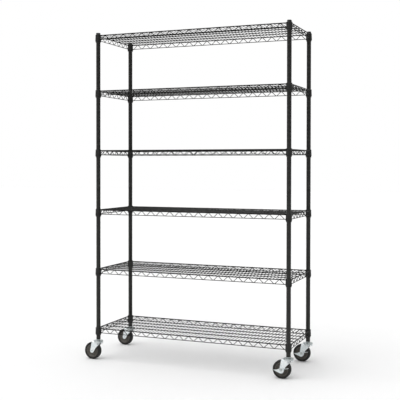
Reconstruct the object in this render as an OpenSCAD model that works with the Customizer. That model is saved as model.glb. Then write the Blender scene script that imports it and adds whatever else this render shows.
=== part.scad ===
// Six-shelf wire rack on swivel casters. Lengths are in millimetres.
// X runs along the shelves, -Y is the front, +Z is up.
// The origin is on the floor, midway between the four posts.

/* [Rack] */
// Nominal length of a shelf, along X
shelf_length = 1219.2; // [900:0.1:1500]
// Nominal depth of a shelf, front to back
shelf_depth = 457.2; // [350:0.1:610]
// Length of each half of a post
post_half_length = 914.4; // [740:0.1:1200]
// Distance from the nominal shelf edge to the middle of a post
post_inset = 19; // [18:0.5:24]

/* [Posts] */
// Outer diameter of the post tube
post_d = 25.4; // [24:0.1:31]
// Wall thickness of the post tube
post_wall = 1.2; // [1:0.1:2]
// Spacing of the ring grooves on a post
groove_pitch = 25.4; // [20:0.1:31]
// Height of the lowest groove above the bottom of the post
first_groove = 23.5; // [20:0.5:30]
// Width of a groove
groove_w = 2; // [1.5:0.1:3]
// Depth of a groove
groove_depth = 0.5; // [0.3:0.1:0.7]
// Height of the cap above the post
cap_h = 6; // [4:0.5:10]
// Diameter of the stud that joins the two halves of a post
joint_stud_d = 16; // [12:0.5:18]
// Depth of the plugs and inserts inside the tube
insert_depth = 30; // [20:1:45]

/* [Sleeves and collars] */
// Length of a split sleeve
sleeve_length = 47; // [40:1:58]
// How far a sleeve stands above the middle of the top rail
sleeve_rise = 7; // [5:0.5:10]
// Thickness of a sleeve at its top end
sleeve_top_t = 1.8; // [1.2:0.1:2.5]
// Thickness of a sleeve at its bottom end
sleeve_bottom_t = 3.2; // [2.6:0.1:4]
// Slit between the two halves of a sleeve
sleeve_slit = 1.5; // [1:0.1:3]
// Height of a shelf collar
collar_h = 38; // [31:0.1:42]
// How far a collar stands above the middle of the top rail
collar_rise = 5; // [3.5:0.5:8]
// Wall thickness of a collar
collar_wall = 2.2; // [1.5:0.1:3]

/* [Shelf wires] */
// Diameter of the top rail
top_rail_d = 6; // [4.5:0.1:7]
// Diameter of the bottom rail
bottom_rail_d = 4; // [3:0.1:5]
// Height from the bottom rail to the top rail, middle to middle
truss_h = 25; // [21:0.5:26]
// Distance of the top rail outside the middle of the posts
rail_offset = 9.5; // [8:0.5:11]
// Thickness of the zigzag wire
zigzag_t = 3.2; // [2.6:0.1:3.8]
// Length of one full wave of the zigzag
zigzag_pitch = 60; // [48:1:72]
// Diameter of a deck wire
deck_wire_d = 3; // [2.5:0.1:3.6]
// Spacing of the deck wires
deck_pitch = 20; // [16:0.5:30]
// Diameter of the rods under the deck
rod_d = 5; // [4:0.1:6]
// Number of rods under the deck
rod_count = 4; // [2:1:5]
// Spacing of the rods under the deck
rod_pitch = 76; // [60:1:92]

/* [Casters] */
// Diameter of a wheel
wheel_d = 101.6; // [85:0.1:125]
// Width of a wheel
wheel_w = 31.75; // [26:0.05:36]
// Distance from the swivel axis back to the axle
trail = 36; // [30:1:42]
// Diameter of the hub, inside the tyre
hub_d = 76; // [64:1:80]
// Thickness of the fork plate
fork_t = 2.5; // [2:0.1:4]
// Space between the wheel and the crown of the fork
crown_clear = 2.8; // [2.5:0.1:6]
// Diameter of the top race
race_d = 56; // [52:1:62]
// Height of the space that the balls run in
ball_space = 4.6; // [4:0.1:6]
// Number of balls in a race
ball_count = 16; // [8:1:20]
// Diameter of the caster stem
stem_d = 12; // [10:0.5:14]
// Height of the hexagon below the post
hex_h = 6; // [4:0.5:9]
// Diameter of the axle bolt
axle_d = 8; // [6:0.5:9]
// Diameter of the bush on the axle
bush_d = 12; // [11:0.5:14]
// Reach of the brake pedal from the axle
pedal_reach = 42; // [36:1:50]
// Thickness of the brake lever
lever_t = 2.5; // [2:0.1:4]

/* [Hidden] */
$fn = 48;
wire_fn = 32;
weld_gap = 0.1;
slip_gap = 0.1;
run_gap = 0.05;
shelf_gap = 0.3;

// Caster heights, from the floor up
wheel_r = wheel_d / 2;
crown_z = wheel_d + crown_clear;
crown_t = 3;
crown_top = crown_z + crown_t;
race_z = crown_top + ball_space;
race_t = 3;
post_z = race_z + race_t + hex_h;

// Posts
post_x = shelf_length / 2 - post_inset;
post_y = shelf_depth / 2 - post_inset;
post_r = post_d / 2;
post_bore_r = post_r - post_wall;
plug_r = post_bore_r - slip_gap;
post_length = 2 * post_half_length;
seam_z = post_z + post_half_length;
post_top = post_z + post_length;
end_land = 4;
joint_stud_r = joint_stud_d / 2;
cap_edge = 3;
cap_skin = 2;
end_room = 2;

// Sleeves and collars, measured from the middle of the top rail
sleeve_low = sleeve_rise - sleeve_length;
sleeve_mid = sleeve_rise - sleeve_length / 2;
sleeve_bore_r = post_r + slip_gap;
sleeve_top_r = post_r + sleeve_top_t;
sleeve_bottom_r = post_r + sleeve_bottom_t;
collar_low = collar_rise - collar_h;

// Shelf levels: evenly spread, each raised to the next groove
shelf_count = 6;
bottom_groove = 1;
top_room = sleeve_length / 2 + 1;
top_groove = floor((post_length - first_groove - top_room) / groove_pitch);
groove_step = (top_groove - bottom_groove) / (shelf_count - 1);
function shelf_groove(level) = bottom_groove + ceil((level - 1) * groove_step);
function shelf_z(level) = post_z + first_groove + groove_pitch * shelf_groove(level) - sleeve_mid;

// Shelf wires, measured from the middle of the posts
top_rail_r = top_rail_d / 2;
bottom_rail_r = bottom_rail_d / 2;
deck_r = deck_wire_d / 2;
rod_r = rod_d / 2;
zigzag_in = top_rail_r + zigzag_t / 2 + weld_gap;
zigzag_offset = rail_offset - zigzag_in;
bottom_rail_offset = zigzag_offset + bottom_rail_r + zigzag_t / 2 + weld_gap;
deck_mid = top_rail_r - deck_r;
deck_under = deck_mid - deck_r;
bend_flat = 6;
zigzag_rise = zigzag_t * 1.25;
zigzag_high = deck_under - weld_gap - zigzag_rise / 2;
zigzag_low = -truss_h;

// Fork, axle and brake
fork_inner = wheel_w / 2 + 2;
fork_outer = fork_inner + fork_t;
stem_r = stem_d / 2;
axle_r = axle_d / 2;
bush_r = bush_d / 2;
hub_r = hub_d / 2;
leg_end_r = 10.5;
leg_back = -trail - 0.5;
leg_front = 14;
leg_front_drop = 12;
leg_knee = -8;
leg_knee_drop = 32;
crown_r = 27;
lip_h = 12;
lip_t = 2;
lip_angle = 70;
kingpin_head_r = 9.5;
kingpin_head_h = 3;
kingpin_play = 0.4;
stem_hex_r = post_r - 1;
bolt_head_r = 7.5;
bolt_head_h = 4.5;
nut_h = 6;
lever_gap = 0.4;
lever_r = 18;
lever_side = lever_gap + lever_t;

// Places of the four posts: side along X, side along Y
FL = [-1, -1];
FR = [1, -1];
RL = [-1, 1];
RR = [1, 1];
CORNERS = [FL, FR, RL, RR];

// ---------- helpers ----------

// Moves its children to one post
module at_post(side) {
  translate([side[0] * post_x, side[1] * post_y, 0]) children();
}

// Repeats its children at all four posts
module at_posts() {
  for (side = CORNERS) at_post(side) children();
}

// Straight wire along X, centred on the origin
module wire_x(length, r) {
  rotate([0, 90, 0]) cylinder(h = length, r = r, center = true, $fn = wire_fn);
}

// Straight wire along Y, centred on the origin
module wire_y(length, r) {
  rotate([90, 0, 0]) cylinder(h = length, r = r, center = true, $fn = wire_fn);
}

// Plain ring from the given height up
module ring(low, high, outer_r, inner_r) {
  difference() {
    translate([0, 0, low]) cylinder(h = high - low, r = outer_r);
    translate([0, 0, low - 1]) cylinder(h = high - low + 2, r = inner_r);
  }
}

// Turns its children so that their Z axis lies along Y
module along_y() {
  rotate([90, 0, 0]) children();
}

// ---------- posts ----------

// Heights of the grooves that fall on one half, from the bottom of that half
function half_grooves(base) = [
  for (k = [0 : ceil(post_length / groove_pitch)])
    let (z = first_groove + k * groove_pitch - base)
    if (z > end_land && z < post_half_length - end_land) z
];

// Outline of one half: V grooves outside, plain bore inside
function post_outline(base) = concat(
  [[post_bore_r, 0], [post_r, 0]],
  [for (z = half_grooves(base), p = [[0, -0.5], [1, 0], [0, 0.5]])
    [post_r - p[0] * groove_depth, z + p[1] * groove_w]],
  [[post_r, post_half_length], [post_bore_r, post_half_length]]
);

module post_half(side, base) {
  color([0.17, 0.17, 0.16])
    at_post(side) translate([0, 0, post_z + base])
      rotate_extrude() polygon(post_outline(base));
}

module post_lower(side) {
  post_half(side, 0);
}

module post_upper(side) {
  post_half(side, post_half_length);
}

// Plug fixed in the upper half, with the stud that screws into the lower half
module post_joint_studs() {
  color("silver") at_posts() {
    translate([0, 0, seam_z]) cylinder(h = insert_depth, r = plug_r);
    translate([0, 0, seam_z - insert_depth + end_room])
      cylinder(h = insert_depth - end_room, r = joint_stud_r);
  }
}

// Threaded insert in the top of the lower half
module post_joint_inserts() {
  color("silver") at_posts()
    ring(seam_z - insert_depth, seam_z, plug_r, joint_stud_r + slip_gap);
}

// Insert in the bottom of the post that takes the caster stem
module post_foot_inserts() {
  color("silver") at_posts()
    ring(post_z, post_z + insert_depth, plug_r, stem_r + slip_gap);
}

module post_caps() {
  color([0.08, 0.08, 0.08]) at_posts() translate([0, 0, post_top])
    rotate_extrude() polygon(concat(
      [[0, cap_h]],
      [for (a = [90 : -15 : 0])
        [post_r - cap_edge + cap_edge * cos(a), cap_h - cap_edge + cap_edge * sin(a)]],
      [
        [post_r, 0],
        [plug_r, 0],
        [plug_r, -insert_depth / 2],
        [plug_r - cap_skin, -insert_depth / 2],
        [plug_r - cap_skin, -cap_skin],
        [0, -cap_skin]
      ]
    ));
}

// ---------- sleeves and collars ----------

// Outer radius of a sleeve at a height above the top rail
function sleeve_r(z) =
  sleeve_bottom_r + (sleeve_top_r - sleeve_bottom_r) * (z - sleeve_low) / sleeve_length;

// Bore of a collar follows the taper of the sleeve
function collar_bore_r(z) = sleeve_r(z) + shelf_gap;
function collar_r(z) = collar_bore_r(z) + collar_wall;

// One half of a split sleeve: its inner rib sits in a groove of the post
module sleeve_half() {
  slit_angle = asin(sleeve_slit / 2 / sleeve_bore_r);
  rotate([0, 0, slit_angle]) rotate_extrude(angle = 180 - 2 * slit_angle)
    polygon([
      [sleeve_bore_r, sleeve_low],
      [sleeve_bottom_r, sleeve_low],
      [sleeve_top_r, sleeve_rise],
      [sleeve_bore_r, sleeve_rise],
      [sleeve_bore_r, sleeve_mid + groove_w / 2],
      [sleeve_bore_r - groove_depth, sleeve_mid],
      [sleeve_bore_r, sleeve_mid - groove_w / 2]
    ]);
}

module sleeves(level) {
  color([0.06, 0.06, 0.06]) at_posts() translate([0, 0, shelf_z(level)])
    for (turn = [0, 180]) rotate([0, 0, turn]) sleeve_half();
}

module shelf_collars(level) {
  color([0.15, 0.15, 0.14]) at_posts() translate([0, 0, shelf_z(level)])
    rotate_extrude() polygon([
      [collar_bore_r(collar_low), collar_low],
      [collar_r(collar_low), collar_low],
      [collar_r(collar_rise), collar_rise],
      [collar_bore_r(collar_rise), collar_rise]
    ]);
}

// ---------- shelf wires ----------

// Zigzag band in the XZ plane between two collars; the middle bend is high or low
module zigzag(span, first_is_high) {
  half_pitch = zigzag_pitch / 2;
  reach = span / 2;
  bends = floor((reach - collar_r(0) - bend_flat / 2) / half_pitch);
  line = concat(
    [[-reach, bend_z(bends, first_is_high)]],
    [for (i = [-bends : bends], side = [-0.5, 0.5])
      [i * half_pitch + side * bend_flat, bend_z(i, first_is_high)]],
    [[reach, bend_z(bends, first_is_high)]]
  );
  last = len(line) - 1;
  rotate([90, 0, 0]) translate([0, 0, -zigzag_t / 2]) linear_extrude(height = zigzag_t)
    polygon(concat(
      [for (p = line) p + [0, zigzag_rise / 2]],
      [for (i = [last : -1 : 0]) line[i] - [0, zigzag_rise / 2]]
    ));
}

function bend_z(i, first_is_high) = ((i % 2 == 0) == first_is_high) ? zigzag_high : zigzag_low;

// Rails and zigzag of the front and the back
module long_trusses() {
  for (side = [-1, 1]) {
    translate([0, side * (post_y + rail_offset), 0]) wire_x(2 * post_x, top_rail_r);
    translate([0, side * (post_y + bottom_rail_offset), -truss_h])
      wire_x(2 * post_x, bottom_rail_r);
    translate([0, side * (post_y + zigzag_offset), 0]) zigzag(2 * post_x, true);
  }
}

// Rails and zigzag of the two ends
module short_trusses() {
  for (side = [-1, 1]) {
    translate([side * (post_x + rail_offset), 0, 0]) wire_y(2 * post_y, top_rail_r);
    translate([side * (post_x + bottom_rail_offset), 0, -truss_h])
      wire_y(2 * post_y, bottom_rail_r);
    translate([side * (post_x + zigzag_offset), 0, 0]) rotate([0, 0, 90])
      zigzag(2 * post_y, false);
  }
}

// The four trusses, with their wire ends coped to the collars
module shelf_frame(level) {
  cope_low = min(collar_low, -truss_h - bottom_rail_r - 1);
  cope_high = max(collar_rise, top_rail_r + 1);
  color([0.17, 0.17, 0.16]) translate([0, 0, shelf_z(level)]) difference() {
    union() {
      long_trusses();
      short_trusses();
    }
    at_posts() translate([0, 0, cope_low])
      cylinder(h = cope_high - cope_low, r1 = collar_r(cope_low) + weld_gap,
        r2 = collar_r(cope_high) + weld_gap);
  }
}

// Half length of the deck wire at x: up to the rails, or up to the collars.
// What counts is the side of the wire that is nearest to the post.
function deck_reach(x) =
  let (
    clear_r = collar_r(0) + weld_gap,
    away = max(abs(post_x - abs(x)) - deck_r, 0)
  )
  away < clear_r
    ? post_y - sqrt(clear_r * clear_r - away * away)
    : post_y + rail_offset - top_rail_r - weld_gap;

// Wires from front to back, on long rods that are evenly spread about the middle
module shelf_deck(level) {
  end_face = post_x + zigzag_offset - zigzag_t / 2 - weld_gap;
  count = floor((end_face - deck_r) / deck_pitch);
  color([0.2, 0.2, 0.19]) translate([0, 0, shelf_z(level)]) {
    for (i = [-count : count]) translate([i * deck_pitch, 0, deck_mid])
      wire_y(2 * deck_reach(i * deck_pitch), deck_r);
    for (i = [1 : rod_count])
      translate([0, (i - (rod_count + 1) / 2) * rod_pitch, deck_under - weld_gap - rod_r])
        wire_x(2 * end_face, rod_r);
  }
}

// ---------- casters ----------

// Stem with its hexagon, and the kingpin head that holds the fork
module caster_stems() {
  head_top = crown_z - kingpin_play;
  color("silver") at_posts() {
    translate([0, 0, head_top - kingpin_head_h]) cylinder(h = kingpin_head_h, r = kingpin_head_r);
    translate([0, 0, head_top]) cylinder(h = post_z + insert_depth - end_room - head_top, r = stem_r);
    translate([0, 0, post_z - hex_h]) cylinder(h = hex_h, r = stem_hex_r, $fn = 6);
  }
}

// Upper race: a disc with a skirt that closes the ball space
module caster_races() {
  skirt_low = crown_top + 0.8;
  skirt_t = 2;
  race_r = race_d / 2;
  color("silver") at_posts() rotate_extrude() polygon([
    [stem_r + slip_gap, race_z],
    [race_r - skirt_t, race_z],
    [race_r - skirt_t, skirt_low],
    [race_r, skirt_low],
    [race_r, race_z + race_t - 1],
    [race_r - 1, race_z + race_t],
    [stem_r + slip_gap, race_z + race_t]
  ]);
}

module caster_balls() {
  ball_r = ball_space / 2 - run_gap;
  ring_r = race_d / 2 - 8;
  color("silver") at_posts()
    for (i = [0 : ball_count - 1]) rotate([0, 0, i * 360 / ball_count])
      translate([ring_r, 0, crown_top + ball_space / 2]) sphere(r = ball_r, $fn = 24);
}

// Angle, seen from c, of the point where a line from p touches the circle round c
function tangent_angle(c, r, p, side) =
  atan2(p[1] - c[1], p[0] - c[0]) + side * acos(r / norm(p - c));

// Points on a circle round c from one angle to another
function arc(c, r, from, to, steps) = [
  for (i = [0 : steps])
    let (a = from + (to - from) * i / steps)
    c + r * [cos(a), sin(a)]
];

// One leg of the fork in the XZ plane, from y = low to y = low + fork_t
module fork_leg(low) {
  eye = [-trail, wheel_r];
  back_top = [leg_back, crown_z + 1];
  front_top = [leg_front, crown_z + 1];
  front_low = [leg_front, crown_z - leg_front_drop];
  knee = [leg_knee, crown_z - leg_knee_drop];
  back_angle = tangent_angle(eye, leg_end_r, back_top, 1);
  front_angle = tangent_angle(eye, leg_end_r, knee, -1) + 360;
  difference() {
    translate([0, low + fork_t, 0]) rotate([90, 0, 0]) linear_extrude(height = fork_t)
      polygon(concat(
        [back_top],
        arc(eye, leg_end_r, back_angle, front_angle, 12),
        [knee, front_low, front_top]
      ));
    translate([eye[0], low - 1, eye[1]]) rotate([-90, 0, 0])
      cylinder(h = fork_t + 2, r = axle_r + slip_gap);
  }
}

module fork(side) {
  color([0.75, 0.78, 0.8]) at_post(side) {
    fork_leg(-fork_outer);
    fork_leg(fork_inner);
    difference() {
      translate([0, 0, crown_z]) {
        cylinder(h = crown_t, r = crown_r);
        translate([leg_back, -fork_outer, 0]) cube([-leg_back, 2 * fork_outer, crown_t]);
      }
      translate([0, 0, crown_z - 1]) cylinder(h = crown_t + 2, r = stem_r + run_gap);
    }
    rotate([0, 0, -lip_angle / 2]) rotate_extrude(angle = lip_angle)
      translate([crown_r - 0.5 - lip_t, crown_z - lip_h]) square([lip_t, lip_h + 1]);
  }
}

// Bolt, nut and bush on the axle line; brake_room is the space for a lever on the front
module axle(side, brake_room) {
  head_y = fork_outer + brake_room + slip_gap;
  nut_y = fork_outer + slip_gap;
  color([0.7, 0.72, 0.74]) at_post(side) translate([-trail, 0, wheel_r]) along_y() {
    translate([0, 0, -nut_y - nut_h - 1]) cylinder(h = nut_y + nut_h + 1 + head_y, r = axle_r);
    translate([0, 0, head_y]) cylinder(h = bolt_head_h, r = bolt_head_r, $fn = 6);
    difference() {
      translate([0, 0, -nut_y - nut_h]) cylinder(h = nut_h, r = bolt_head_r, $fn = 6);
      translate([0, 0, -nut_y - nut_h - 1]) cylinder(h = nut_h + 2, r = axle_r + run_gap);
    }
    ring(-fork_inner + slip_gap, fork_inner - slip_gap, bush_r, axle_r + run_gap);
  }
}

module wheel_hub(side) {
  boss_r = bush_r + 6;
  boss_y = fork_inner - 0.9;
  rim_y = wheel_w / 2 - 2;
  rim_t = 6;
  web_y = 5;
  color([0.27, 0.25, 0.23]) at_post(side) translate([-trail, 0, wheel_r]) along_y()
    rotate_extrude() polygon([
      [bush_r + run_gap, -boss_y],
      [boss_r, -boss_y],
      [boss_r + 2, -web_y],
      [hub_r - rim_t, -web_y],
      [hub_r - rim_t + 2, -rim_y],
      [hub_r - run_gap, -rim_y],
      [hub_r - run_gap, rim_y],
      [hub_r - rim_t + 2, rim_y],
      [hub_r - rim_t, web_y],
      [boss_r + 2, web_y],
      [boss_r, boss_y],
      [bush_r + run_gap, boss_y]
    ]);
}

// Solid rubber tyre with rounded shoulders
module tyre(side) {
  shoulder = 7;
  flat_y = wheel_w / 2 - shoulder;
  color([0.1, 0.1, 0.1]) at_post(side) translate([-trail, 0, wheel_r]) along_y()
    rotate_extrude($fn = 96) polygon(concat(
      [[hub_r, -wheel_w / 2]],
      [for (a = [-90 : 15 : 0])
        [wheel_r - shoulder + shoulder * cos(a), -flat_y + shoulder * sin(a)]],
      [for (a = [0 : 15 : 90])
        [wheel_r - shoulder + shoulder * cos(a), flat_y + shoulder * sin(a)]],
      [[hub_r, wheel_w / 2]]
    ));
}

// Cup round the axle with a pointed pedal behind it and a release tab in front
module brake_lever(side) {
  plate_y = fork_outer + lever_gap;
  tip = [-pedal_reach, -2];
  upper_angle = tangent_angle([0, 0], lever_r, tip, -1) + 360;
  lower_angle = tangent_angle([0, 0], lever_r, tip, 1);
  tab_end = 44;
  tab_rise = 10;
  tab_w = 12;
  color([0.8, 0.83, 0.85]) at_post(side) translate([-trail, 0, wheel_r]) difference() {
    union() {
      along_y() translate([0, 0, plate_y]) linear_extrude(height = lever_t)
        polygon(concat([tip], arc([0, 0], lever_r, lower_angle, upper_angle, 24)));
      translate([0, -plate_y - tab_w, tab_rise])
        cube([tab_end, tab_w, lever_t]);
    }
    along_y() translate([0, 0, plate_y - 1])
      cylinder(h = lever_t + tab_w + 2, r = axle_r + run_gap);
    along_y() translate([0, 0, plate_y + lever_t])
      cylinder(h = tab_w + 2, r = lever_r - 2);
  }
}

// ---------- nodes ----------

post_lower(FL);  // post_lower_fl
post_lower(FR);  // post_lower_fr
post_lower(RL);  // post_lower_rl
post_lower(RR);  // post_lower_rr
post_upper(FL);  // post_upper_fl
post_upper(FR);  // post_upper_fr
post_upper(RL);  // post_upper_rl
post_upper(RR);  // post_upper_rr
post_joint_studs();
post_joint_inserts();
post_foot_inserts();
post_caps();
sleeves(1);  // sleeves_1
sleeves(2);  // sleeves_2
sleeves(3);  // sleeves_3
sleeves(4);  // sleeves_4
sleeves(5);  // sleeves_5
sleeves(6);  // sleeves_6
shelf_frame(1);  // shelf_1_frame
shelf_deck(1);  // shelf_1_deck
shelf_collars(1);  // shelf_1_collars
shelf_frame(2);  // shelf_2_frame
shelf_deck(2);  // shelf_2_deck
shelf_collars(2);  // shelf_2_collars
shelf_frame(3);  // shelf_3_frame
shelf_deck(3);  // shelf_3_deck
shelf_collars(3);  // shelf_3_collars
shelf_frame(4);  // shelf_4_frame
shelf_deck(4);  // shelf_4_deck
shelf_collars(4);  // shelf_4_collars
shelf_frame(5);  // shelf_5_frame
shelf_deck(5);  // shelf_5_deck
shelf_collars(5);  // shelf_5_collars
shelf_frame(6);  // shelf_6_frame
shelf_deck(6);  // shelf_6_deck
shelf_collars(6);  // shelf_6_collars
caster_stems();
caster_races();
caster_balls();
fork(FL);  // fork_fl
axle(FL, 0);  // axle_fl
wheel_hub(FL);  // wheel_hub_fl
tyre(FL);  // tyre_fl
fork(FR);  // fork_fr
axle(FR, lever_side);  // axle_fr
wheel_hub(FR);  // wheel_hub_fr
tyre(FR);  // tyre_fr
brake_lever(FR);  // brake_lever_fr
fork(RL);  // fork_rl
axle(RL, 0);  // axle_rl
wheel_hub(RL);  // wheel_hub_rl
tyre(RL);  // tyre_rl
fork(RR);  // fork_rr
axle(RR, lever_side);  // axle_rr
wheel_hub(RR);  // wheel_hub_rr
tyre(RR);  // tyre_rr
brake_lever(RR);  // brake_lever_rr
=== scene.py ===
import math
import bmesh
import bpy
from mathutils import Matrix, Vector


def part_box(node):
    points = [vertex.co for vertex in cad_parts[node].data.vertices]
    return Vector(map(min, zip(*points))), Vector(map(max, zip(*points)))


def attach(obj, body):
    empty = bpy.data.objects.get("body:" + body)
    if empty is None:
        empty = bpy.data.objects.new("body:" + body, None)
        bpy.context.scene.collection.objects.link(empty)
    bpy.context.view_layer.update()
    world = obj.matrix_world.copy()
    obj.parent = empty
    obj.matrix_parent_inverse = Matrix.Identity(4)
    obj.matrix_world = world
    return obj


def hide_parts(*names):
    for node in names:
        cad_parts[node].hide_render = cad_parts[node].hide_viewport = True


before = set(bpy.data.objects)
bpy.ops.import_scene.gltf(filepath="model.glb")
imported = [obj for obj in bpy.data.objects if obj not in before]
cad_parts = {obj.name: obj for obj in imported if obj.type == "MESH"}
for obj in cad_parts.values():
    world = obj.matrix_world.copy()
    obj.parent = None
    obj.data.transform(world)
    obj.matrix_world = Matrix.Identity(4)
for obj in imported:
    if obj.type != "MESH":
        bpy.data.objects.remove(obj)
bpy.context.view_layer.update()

mm = 0.001
corners = ["fl", "fr", "rl", "rr"]        # front left, front right, rear left, rear right
brakedCorners = ["fr", "rr"]
levels = [1, 2, 3, 4, 5, 6]               # shelves from the bottom up
print("frame loaded:", len(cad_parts), "CAD nodes")


# A form is the list of points and faces that becomes one piece.

def newForm():
    return {"points": [], "faces": []}


def addToForm(form, points, faces):
    base = len(form["points"])
    form["points"].extend(points)
    form["faces"].extend(tuple(base + i for i in face) for face in faces)


def makePiece(name, form, finish, sharpAngle=38):
    mesh = bpy.data.meshes.new(name)
    mesh.from_pydata([tuple(p) for p in form["points"]], [], form["faces"])
    work = bmesh.new()
    work.from_mesh(mesh)
    bmesh.ops.recalc_face_normals(work, faces=work.faces)
    work.to_mesh(mesh)
    work.free()
    mesh.polygons.foreach_set("use_smooth", [True] * len(mesh.polygons))
    mesh.set_sharp_from_angle(angle=math.radians(sharpAngle))
    mesh.materials.append(finish)
    piece = bpy.data.objects.new(name, mesh)
    bpy.context.scene.collection.objects.link(piece)
    return piece


def settle(piece, node, body):
    # the piece stands for that CAD node and moves with its body
    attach(piece, body)
    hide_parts(node)


def gridFaces(rows, columns, wrapRows=False, wrapColumns=False):
    faces = []
    for r in range(rows if wrapRows else rows - 1):
        for c in range(columns if wrapColumns else columns - 1):
            r2 = (r + 1) % rows
            c2 = (c + 1) % columns
            faces.append((r * columns + c, r * columns + c2, r2 * columns + c2, r2 * columns + c))
    return faces


def endFaces(rows, columns):
    # caps for the first and the last row of a grid that is wrapped round
    last = (rows - 1) * columns
    return [tuple(range(columns - 1, -1, -1)), tuple(range(last, last + columns))]


def smoothStep(value, low, high):
    t = min(max((value - low) / (high - low), 0), 1)
    return t * t * (3 - 2 * t)


def arcPoints(centre, radius, fromAngle, toAngle, steps):
    out = []
    for k in range(steps + 1):
        a = math.radians(fromAngle + (toAngle - fromAngle) * k / steps)
        out.append((centre[0] + radius * math.cos(a), centre[1] + radius * math.sin(a)))
    return out


def roundCorners(path, radius, steps):
    # each inner corner of the path becomes a short curve
    out = [path[0]]
    for i in range(1, len(path) - 1):
        corner = path[i]
        back = path[i - 1] - corner
        ahead = path[i + 1] - corner
        reach = min(radius, back.length / 2, ahead.length / 2)
        start = corner + back.normalized() * reach
        end = corner + ahead.normalized() * reach
        for k in range(steps + 1):
            t = k / steps
            out.append(start.lerp(corner, t).lerp(corner.lerp(end, t), t))
    out.append(path[-1])
    return out


def addWire(form, path, radius, sides=12):
    # round wire along a path, cropped with slightly rounded ends
    last = len(path) - 1
    rings = [(path[0], 0, 0.7), (path[0], radius * 0.2, 1)]
    rings += [(path[i], 0, 1) for i in range(1, last)]
    rings += [(path[last], -radius * 0.2, 1), (path[last], 0, 0.7)]
    tangents = []
    for i in range(last + 1):
        tangents.append((path[min(i + 1, last)] - path[max(i - 1, 0)]).normalized())
    tangents = [tangents[0]] + tangents + [tangents[last]]
    side = tangents[0].orthogonal().normalized()
    points = []
    for i, (centre, ahead, share) in enumerate(rings):
        if i:
            side = (tangents[i - 1].rotation_difference(tangents[i]) @ side).normalized()
        other = tangents[i].cross(side)
        for k in range(sides):
            a = 2 * math.pi * k / sides
            out = side * math.cos(a) + other * math.sin(a)
            points.append(centre + tangents[i] * ahead + out * radius * share)
    faces = gridFaces(len(rings), sides, wrapColumns=True) + endFaces(len(rings), sides)
    addToForm(form, points, faces)


def addSpin(form, outline, place, segments=48, start=0, sweep=360, closed=True):
    # turns an outline of (radius, height) pairs round the local Z axis; an open outline
    # starts and ends on the axis
    full = sweep >= 360
    rows = segments if full else segments + 1
    profile = outline if closed else outline[1:-1]
    columns = len(profile)
    points = []
    for k in range(rows):
        a = math.radians(start + sweep * k / segments)
        for radius, height in profile:
            points.append(place @ Vector((radius * math.cos(a), radius * math.sin(a), height)))
    faces = gridFaces(rows, columns, wrapRows=full, wrapColumns=closed)
    if not full:
        faces += endFaces(rows, columns)
    if not closed:
        for (radius, height), column in ((outline[0], 0), (outline[-1], columns - 1)):
            pole = len(points)
            points.append(place @ Vector((radius, 0, height)))
            for r in range(rows):
                faces.append((pole, r * columns + column, (r + 1) % rows * columns + column))
    addToForm(form, points, faces)


def addWeld(form, centre, sizes, around=8, rows=4):
    # small rounded lump of weld metal, its three half sizes along X, Y and Z
    points = []
    for r in range(1, rows):
        tilt = math.pi * r / rows
        for k in range(around):
            a = 2 * math.pi * k / around
            points.append(centre + Vector((
                sizes[0] * math.sin(tilt) * math.cos(a),
                sizes[1] * math.sin(tilt) * math.sin(a),
                sizes[2] * math.cos(tilt))))
    faces = gridFaces(rows - 1, around, wrapColumns=True)
    top = len(points)
    lastRow = (rows - 2) * around
    points.append(centre + Vector((0, 0, sizes[2])))
    points.append(centre - Vector((0, 0, sizes[2])))
    for k in range(around):
        k2 = (k + 1) % around
        faces.append((top, k2, k))
        faces.append((top + 1, lastRow + k, lastRow + k2))
    addToForm(form, points, faces)


def addPlate(form, outline, place, thickness, edge, hole=0):
    # flat plate with softened edges and maybe a round hole at the local origin; its outline
    # runs anticlockwise in the local XY plane
    count = len(outline)
    normals = []
    for i in range(count):
        run = Vector(outline[(i + 1) % count]) - Vector(outline[i - 1])
        normals.append(Vector((run.y, -run.x)).normalized())
    layers = [(edge, 0), (edge * 0.3, edge * 0.3), (0, edge), (0, thickness - edge),
              (edge * 0.3, thickness - edge * 0.3), (edge, thickness)]
    points = []
    for inset, height in layers:
        for i in range(count):
            p = Vector(outline[i]) - normals[i] * inset
            points.append(place @ Vector((p.x, p.y, height)))
    if hole:
        for height in (thickness, 0):
            for p in outline:
                rim = Vector(p).normalized() * hole
                points.append(place @ Vector((rim.x, rim.y, height)))
        addToForm(form, points, gridFaces(len(layers) + 2, count, wrapRows=True, wrapColumns=True))
    else:
        faces = gridFaces(len(layers), count, wrapColumns=True) + endFaces(len(layers), count)
        addToForm(form, points, faces)


def addHexagon(form, place, across, height, chamfer):
    # bolt head or nut: six flats, with the corners turned off at the top
    segments = 36
    flatRadius = across / 2
    cornerRadius = flatRadius / math.cos(math.radians(30))
    rings = [[], [], [], []]
    for k in range(segments):
        a = 2 * math.pi * k / segments
        side = flatRadius / math.cos(a % (math.pi / 3) - math.pi / 6)
        over = (side - flatRadius) / (cornerRadius - flatRadius)
        steps = [(side, 0), (side, height - chamfer * (0.25 + over * 0.7)),
                 (flatRadius * 0.96, height - chamfer * 0.1), (flatRadius * 0.9, height)]
        for ring, (radius, rise) in zip(rings, steps):
            ring.append(place @ Vector((radius * math.cos(a), radius * math.sin(a), rise)))
    points = rings[0] + rings[1] + rings[2] + rings[3]
    addToForm(form, points, gridFaces(4, segments, wrapColumns=True) + endFaces(4, segments))


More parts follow.
